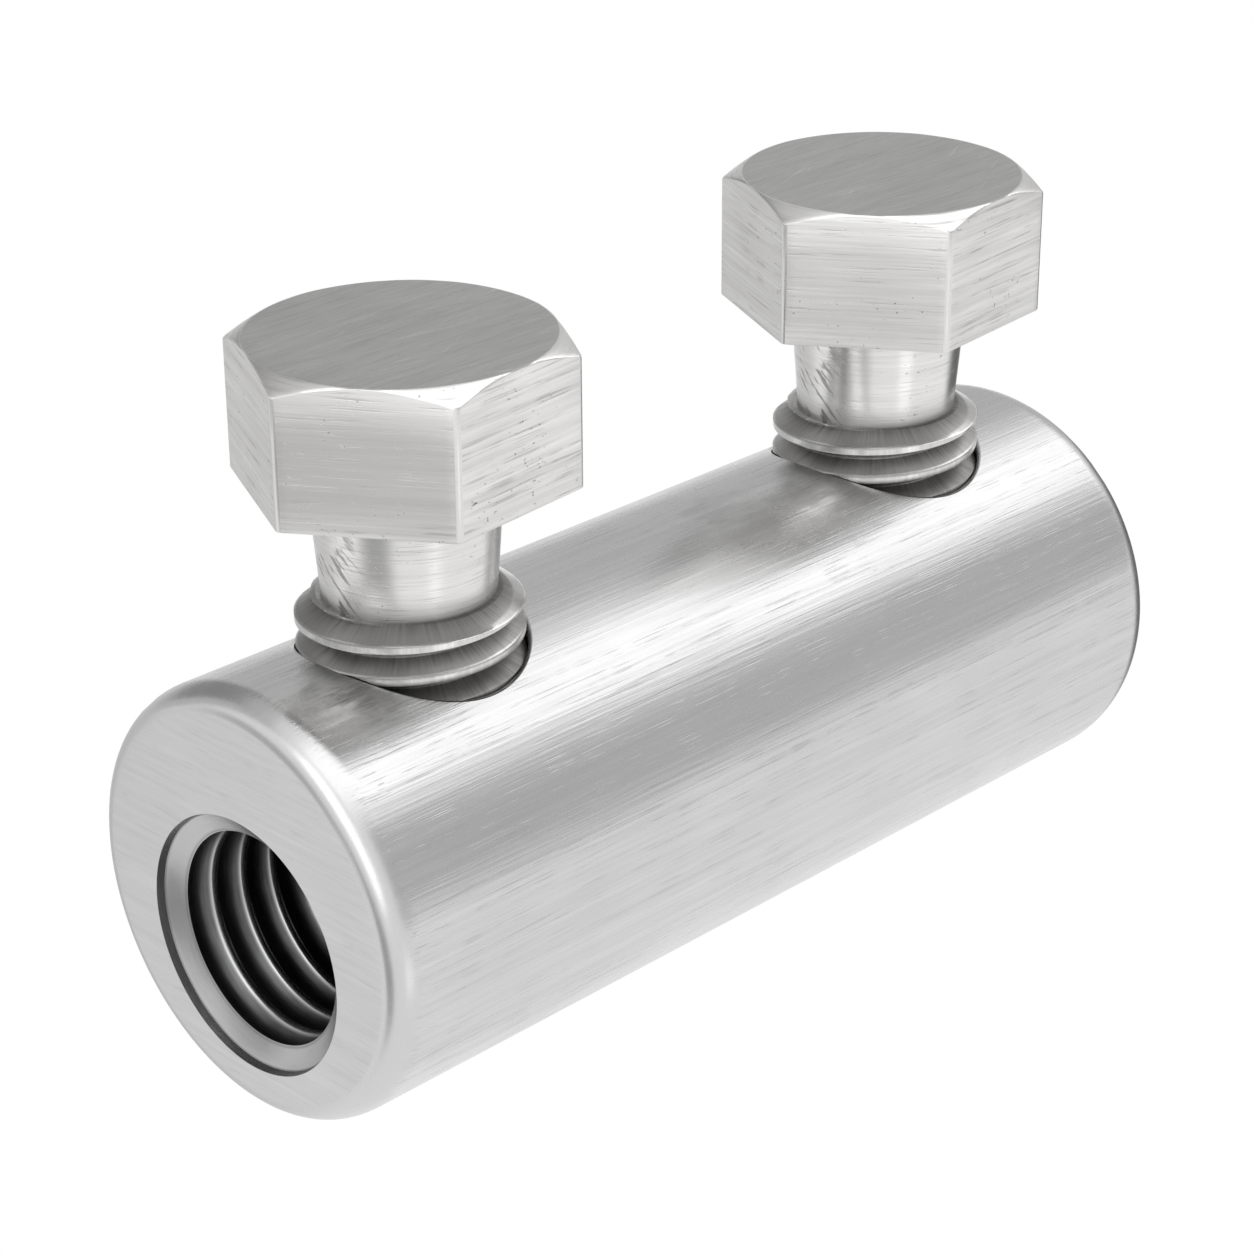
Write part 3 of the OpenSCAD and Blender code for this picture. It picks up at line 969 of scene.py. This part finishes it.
def grey_card(name, first, last, start, stop, level, radius=500):
    """A strip of a cylinder about X that only reflections see. first and last are its angles from
    +Z towards -Y in degrees, and start and stop its ends on X."""
    turns = -np.radians(np.linspace(first, last, 25))
    skin = Skin()
    skin.grid(along_x(np.linspace(start, stop, 5), radius, turns))
    s = Shader(bpy.data.materials.new(name))
    s.set(Base_Color=(0, 0, 0, 1), Roughness=1.0, Specular_IOR_Level=0.0)
    s.set(Emission_Color=rgba((level,) * 3), Emission_Strength=1.0)
    card = skin.build(name, [s.material])
    card.visible_camera = card.visible_diffuse = card.visible_shadow = False


# Dark flags and bright cards that only reflections see, as direction round Z from +X, height angle,
# angles where one is full and where it ends, and the light that it takes away, or adds below 0
FLAGS = (
    (146, 0, 8, 24, 0.45),
    (188, -25, 4, 26, 0.58),
    (6, -14, 13, 30, 0.85),
    (88, -25, 12, 42, 0.32),
    (172, -6, 3, 12, 0.4),
    (182, 48, 6, 17, -0.9),
    (203, 35, 9, 19, -0.9),
    (218, 15, 7, 17, -0.9),
    (262, -25, 4, 12, -0.35),
)


class CONNECTOR_OT_stage(bpy.types.Operator):
    """Sets the camera, the white background, the lamp and the reflected cards"""

    bl_idname = "connector.stage"
    bl_label = "Stage"

    def execute(self, context):
        g = in_mm(context.scene.connector_stage)
        az, el = g.azimuth, g.elevation
        back = Vector((math.sin(az) * math.cos(el), -math.cos(az) * math.cos(el), math.sin(el)))
        right = (-back).cross(Vector((0, 0, 1))).normalized()
        up = right.cross(-back)
        across = right * math.cos(g.roll) + up * math.sin(g.roll)
        upward = up * math.cos(g.roll) - right * math.sin(g.roll)
        middle = Vector((0, 0, 12))  # of the body, in millimetres
        place = (middle + back * g.distance - across * g.aside + upward * g.raised) * MM
        data = bpy.data.cameras.new("camera")
        data.sensor_fit, data.sensor_width, data.lens = "HORIZONTAL", 36, g.lens
        data.clip_start, data.clip_end = 0.005, 10
        camera = bpy.data.objects.new("camera", data)
        turned = Matrix((across, upward, back)).transposed().to_4x4()
        camera.matrix_world = Matrix.Translation(place) @ turned
        context.scene.collection.objects.link(camera)
        context.scene.camera = camera

        world = bpy.data.worlds.new("white")
        context.scene.world = world
        s = Shader(world, "Background")
        camera_ray, glossy_ray, through_ray = (
            s.node("ShaderNodeLightPath", output=f"Is {kind} Ray")
            for kind in ("Camera", "Glossy", "Transmission")
        )
        way = s.coordinates("Generated")
        light = 1.0
        for *angles, loss in FLAGS:
            turn, rise, inner, outer = map(math.radians, angles)
            towards = (math.cos(turn) * math.cos(rise), math.sin(turn) * math.cos(rise), math.sin(rise))
            inside = s.against(way, towards).above(math.cos(outer), math.cos(inner))
            light = (1.0 - inside * loss) * light
        lit = s.mix(glossy_ray, rgba((0.8,) * 3), s.scaled((1.0, 1.0, 1.0), light))
        s.set(Color=s.mix((camera_ray + through_ray).clamped(), lit, rgba((1, 1, 1))), Strength=1.0)

        lamp = bpy.data.lights.new("key", "AREA")
        lamp.shape, lamp.size, lamp.size_y, lamp.energy = "RECTANGLE", 1.2, 0.30, g.key
        key = bpy.data.objects.new("key", lamp)
        tilt = Matrix.Rotation(math.radians(14), 4, "X")
        key.matrix_world = tilt @ Matrix.Translation((0.38, 0, 0.45))
        context.scene.collection.objects.link(key)

        grey_card("card_behind", -90, -22, -300, 1500, g.card)
        grey_card("card_front", 42, 88, -100, 1500, g.card)
        grey_card("card_left", -80, -42, -110, 200, g.card * 0.5, radius=450)
        context.scene.view_settings.view_transform = "Standard"
        return {"FINISHED"}


class CONNECTOR_PT_panel(bpy.types.Panel):
    """Lists the steps that build the connector"""

    bl_idname = "CONNECTOR_PT_panel"
    bl_label = "Shear bolt connector"
    bl_space_type = "VIEW_3D"
    bl_region_type = "UI"
    bl_category = "Connector"

    def draw(self, context):
        for step in STEPS:
            self.layout.operator(step.bl_idname)
        for group in GROUPS:
            box = self.layout.box()
            box.label(text=group.__doc__)
            for name in group.__annotations__:
                box.prop(getattr(context.scene, GROUPS[group]), name)


GROUPS = {
    ConnectorBodySettings: "connector_body",
    ThreadSettings: "connector_thread",
    BoltSettings: "connector_bolt",
    PadSettings: "connector_pad",
    FinishSettings: "connector_finish",
    StageSettings: "connector_stage",
}
STEPS = (CONNECTOR_OT_body, CONNECTOR_OT_bolts, CONNECTOR_OT_pads, CONNECTOR_OT_stage)


def register():
    for kind in (*GROUPS, *STEPS, CONNECTOR_PT_panel):
        bpy.utils.register_class(kind)
    for group, name in GROUPS.items():
        setattr(bpy.types.Scene, name, bpy.props.PointerProperty(type=group))


def unregister():
    for name in GROUPS.values():
        delattr(bpy.types.Scene, name)
    for kind in reversed((*GROUPS, *STEPS, CONNECTOR_PT_panel)):
        bpy.utils.unregister_class(kind)


def main():
    """Builds every piece and the stage."""
    register()
    bpy.ops.connector.body()
    bpy.ops.connector.bolts()
    bpy.ops.connector.pads()
    bpy.ops.connector.stage()
    bpy.context.view_layer.update()


if __name__ == "__main__":
    main()
